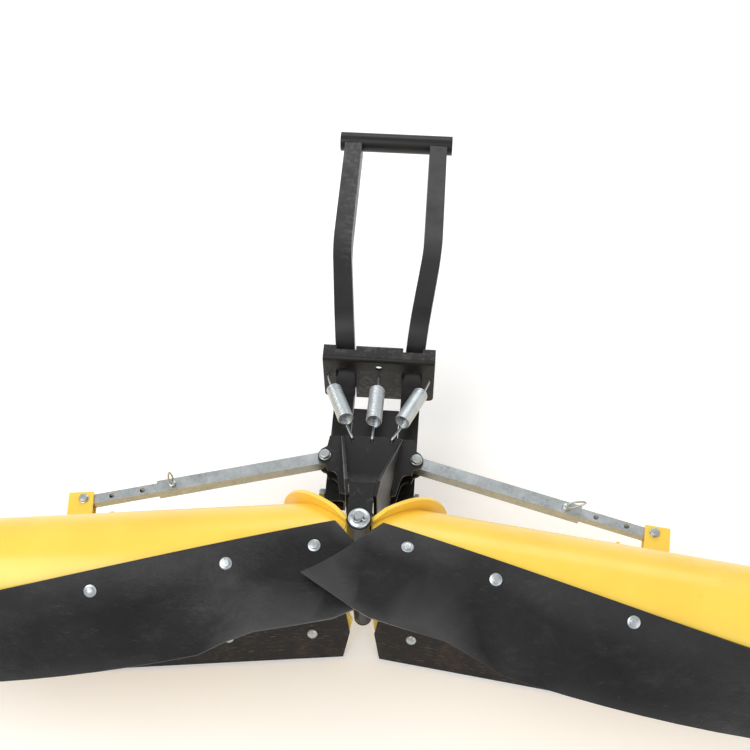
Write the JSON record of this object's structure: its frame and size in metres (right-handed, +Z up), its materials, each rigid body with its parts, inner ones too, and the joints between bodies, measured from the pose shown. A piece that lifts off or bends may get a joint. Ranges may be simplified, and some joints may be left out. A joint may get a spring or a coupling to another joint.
{
  "type": "atv plow blade",
  "caption": "V plow blade for an ATV: two curled hinged wings with rubber flaps, telescoping struts, a spring trip frame and a push frame.",
  "frame": {"origin": "on the axis of the cross tube at the rear of the push frame, midway along it, where the plow pins to the vehicle's mount", "axes": "+Z up, -Y ahead of the vehicle towards the blade, +X along the blade to the right as seen from in front of it"},
  "size_m": [1.8406, 1.3762, 0.5047],
  "materials": {
    "painted_yellow": "gloss powder coat",
    "black_paint": "satin black powder coat",
    "zinc_plate": "clear zinc plating",
    "spring_wire": "bright zinc plated spring wire",
    "flap_rubber": "matte reinforced rubber",
    "wear_steel": "black steel cutting edge, lightly worn"
  },
  "bodies": {
    "push_frame": {"push_tube_right": "black_paint", "push_tube_left": "black_paint", "spring_crossmember": "black_paint", "front_tie_plate": "black_paint", "rear_cross_tube": "black_paint", "trip_pivot_bolt": "zinc_plate", "trip_pivot_nut": "zinc_plate", "trip_spring_left": "spring_wire", "trip_spring_middle": "spring_wire", "trip_spring_right": "spring_wire"},
    "trip_frame": {"spring_plate": "black_paint", "gusset_right": "black_paint", "strut_ear_upper_right": "black_paint", "strut_ear_lower_right": "black_paint", "trip_lug_right": "black_paint", "gusset_left": "black_paint", "strut_ear_upper_left": "black_paint", "strut_ear_lower_left": "black_paint", "trip_lug_left": "black_paint", "trip_pivot_sleeve": "black_paint", "hinge_centre_barrel": "black_paint", "hinge_bottom_plate": "black_paint", "strut_ear_bolt_right": "zinc_plate", "strut_ear_bolt_left": "zinc_plate", "hinge_pin": "zinc_plate", "hinge_washer": "zinc_plate", "hinge_cotter": "zinc_plate"},
    "wing_right": {"right_moldboard": "painted_yellow", "right_inner_end_plate": "painted_yellow", "right_upper_knuckle": "black_paint", "right_lower_knuckle": "black_paint", "right_mid_rib": "painted_yellow", "right_outer_rib": "painted_yellow", "right_lower_rail": "painted_yellow", "right_strut_clevis": "painted_yellow", "right_clevis_bolt": "zinc_plate", "right_clevis_nut": "zinc_plate", "right_wear_bar": "wear_steel", "right_flap": "flap_rubber"},
    "strut_sleeve_right": {"strut_outer_tube_right": "zinc_plate"},
    "strut_rod_right": {"strut_inner_tube_right": "zinc_plate"},
    "lock_right": {"lock_pin_right": "zinc_plate", "lock_pin_bail_right": "zinc_plate"},
    "wing_left": {"left_moldboard": "painted_yellow", "left_inner_end_plate": "painted_yellow", "left_upper_knuckle": "black_paint", "left_lower_knuckle": "black_paint", "left_mid_rib": "painted_yellow", "left_outer_rib": "painted_yellow", "left_lower_rail": "painted_yellow", "left_strut_clevis": "painted_yellow", "left_clevis_bolt": "zinc_plate", "left_clevis_nut": "zinc_plate", "left_wear_bar": "wear_steel", "left_flap": "flap_rubber"},
    "strut_sleeve_left": {"strut_outer_tube_left": "zinc_plate"},
    "strut_rod_left": {"strut_inner_tube_left": "zinc_plate"},
    "lock_left": {"lock_pin_left": "zinc_plate", "lock_pin_bail_left": "zinc_plate"}
  },
  "joints": [
    {"name": "trip", "type": "hinge", "parent": "push_frame", "child": "trip_frame", "pos_m": [0, -0.88646, -0.10922], "axis": [1, 0, 0], "range_deg": [0, 25], "stiffness_Nm_per_rad": 240, "springref_deg": -42.97, "deforming": ["trip_spring_left", "trip_spring_middle", "trip_spring_right"]},
    {"name": "wing_right", "type": "hinge", "parent": "trip_frame", "child": "wing_right", "pos_m": [0, -1.08966, -0.0254], "axis": [0, 0, 1], "range_deg": [-14, 24]},
    {"name": "strut_swing_right", "type": "hinge", "parent": "trip_frame", "child": "strut_sleeve_right", "pos_m": [0.08941, -0.8509, -0.03874], "axis": [0, 0, 1], "range_deg": [-16, 27]},
    {"name": "strut_slide_right", "type": "slide", "parent": "strut_sleeve_right", "child": "strut_rod_right", "axis": [0.9639, -0.2664, 0], "range_m": [-0.112, 0.07]},
    {"name": "lock_pin_right_pull", "type": "slide", "parent": "strut_sleeve_right", "child": "lock_right", "axis": [0, 0, 1], "range_m": [0, 0.03]},
    {"name": "wing_left", "type": "hinge", "parent": "trip_frame", "child": "wing_left", "pos_m": [0, -1.08966, -0.0254], "axis": [0, 0, -1], "range_deg": [-14, 24]},
    {"name": "strut_swing_left", "type": "hinge", "parent": "trip_frame", "child": "strut_sleeve_left", "pos_m": [-0.08941, -0.8509, -0.03874], "axis": [0, 0, -1], "range_deg": [-16, 27]},
    {"name": "strut_slide_left", "type": "slide", "parent": "strut_sleeve_left", "child": "strut_rod_left", "axis": [-0.9639, -0.2664, 0], "range_m": [-0.112, 0.07]},
    {"name": "lock_pin_left_pull", "type": "slide", "parent": "strut_sleeve_left", "child": "lock_left", "axis": [0, 0, 1], "range_m": [0, 0.03]}
  ],
  "couplings": [
    {"joint": "strut_swing_right", "follows": "wing_right", "ratio": 1.0483},
    {"joint": "strut_slide_right", "follows": "wing_right", "m_per_rad": -0.25395},
    {"joint": "strut_swing_left", "follows": "wing_left", "ratio": 1.0483},
    {"joint": "strut_slide_left", "follows": "wing_left", "m_per_rad": -0.25395}
  ]
}
